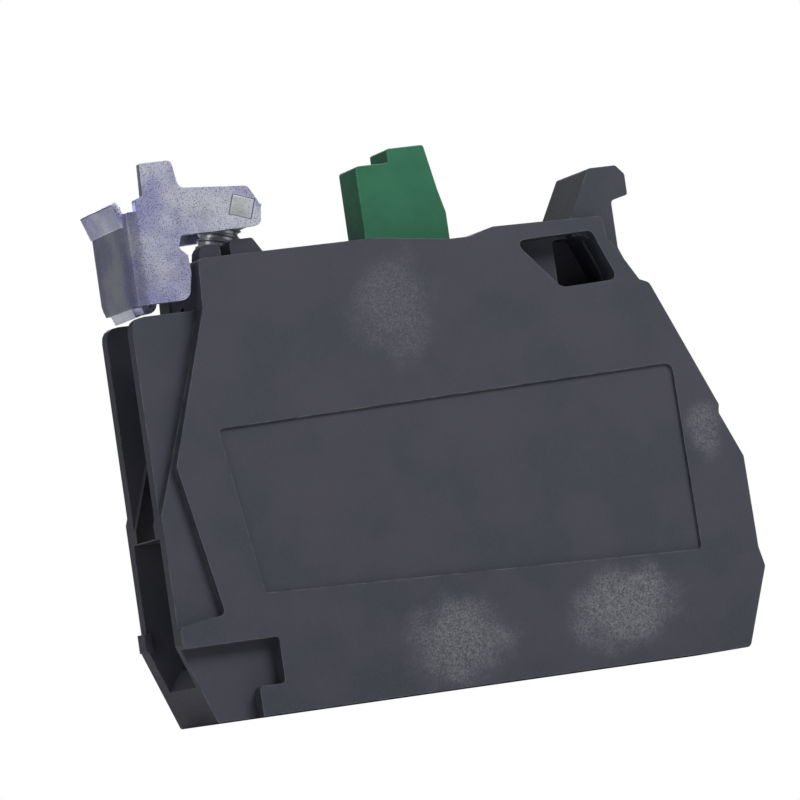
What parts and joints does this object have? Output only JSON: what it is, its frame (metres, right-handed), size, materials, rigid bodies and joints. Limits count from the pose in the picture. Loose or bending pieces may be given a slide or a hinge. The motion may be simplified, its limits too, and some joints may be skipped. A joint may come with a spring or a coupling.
{
  "type": "contact block",
  "caption": "Normally open contact block for an industrial push button: black two shell case, sprung green plunger, screw terminals, slanted fixing screw and bent steel clamp.",
  "frame": {"origin": "on the flat back face, on the plunger's axis, at the middle of the block's thickness", "axes": "+X along the block towards the collar hook, +Y through the thickness, +Z along the plunger towards the button head"},
  "size_m": [0.044, 0.011, 0.0395],
  "materials": {
    "shell": "black moulded polyamide, fine grain, scuffed",
    "plunger": "green moulded acetal",
    "spring_wire": "drawn spring steel wire",
    "brass": "stamped brass",
    "silver": "riveted silver contact",
    "zinc": "clear zinc plate",
    "blue_zinc": "blue passivated zinc plate"
  },
  "bodies": {
    "case": {"housing_rear": "shell", "housing_cover": "shell", "fixed_contact_left": "brass", "fixed_contact_right": "brass", "fixed_tip_left": "silver", "fixed_tip_right": "silver", "terminal_nut_left": "brass", "terminal_nut_right": "brass", "return_spring": "spring_wire"},
    "plunger": {"plunger": "plunger", "contact_spring": "spring_wire"},
    "bridge": {"contact_bridge": "brass", "bridge_tip_left": "silver", "bridge_tip_right": "silver"},
    "saddle_left": {"terminal_saddle_left": "zinc", "terminal_washer_left": "zinc"},
    "saddle_right": {"terminal_saddle_right": "zinc", "terminal_washer_right": "zinc"},
    "screw_left": {"terminal_screw_left": "zinc"},
    "screw_right": {"terminal_screw_right": "zinc"},
    "fixing_screw": {"fixing_screw": "zinc"},
    "clamp": {"fixing_clamp": "blue_zinc", "fixing_nut": "zinc"}
  },
  "joints": [
    {"name": "plunger_slide", "type": "slide", "parent": "case", "child": "plunger", "axis": [0, 0, 1], "range_m": [-0.0043, 0], "stiffness_N_per_m": 120, "springref_m": 0.01, "deforming": ["return_spring", "contact_spring"]},
    {"name": "bridge_slide", "type": "slide", "parent": "case", "child": "bridge", "axis": [0, 0, 1], "range_m": [-0.00215, 0]},
    {"name": "saddle_left_slide", "type": "slide", "parent": "case", "child": "saddle_left", "axis": [0, 0, 1], "range_m": [0, 0.003]},
    {"name": "screw_left_turn", "type": "hinge", "parent": "saddle_left", "child": "screw_left", "pos_m": [-0.0154, 0, 0.0036], "axis": [0, 0, 1], "range_deg": [0, 1801]},
    {"name": "saddle_right_slide", "type": "slide", "parent": "case", "child": "saddle_right", "axis": [0, 0, 1], "range_m": [0, 0.003]},
    {"name": "screw_right_turn", "type": "hinge", "parent": "saddle_right", "child": "screw_right", "pos_m": [0.0154, 0, 0.0036], "axis": [0, 0, 1], "range_deg": [0, 1801]},
    {"name": "fixing_screw_turn", "type": "hinge", "parent": "case", "child": "fixing_screw", "pos_m": [-0.0142, 0, 0.03], "axis": [0.3322, 0, 0.9432], "range_deg": [-793, 0]},
    {"name": "clamp_slide", "type": "slide", "parent": "case", "child": "clamp", "axis": [0.3322, 0, 0.9432], "range_m": [0, 0.0011]}
  ],
  "couplings": [
    {"joint": "bridge_slide", "follows": "plunger_slide", "ratio": 0.5},
    {"joint": "screw_left_turn", "follows": "saddle_left_slide", "rad_per_m": 10472},
    {"joint": "screw_right_turn", "follows": "saddle_right_slide", "rad_per_m": 10472},
    {"joint": "fixing_screw_turn", "follows": "clamp_slide", "rad_per_m": -12566}
  ]
}
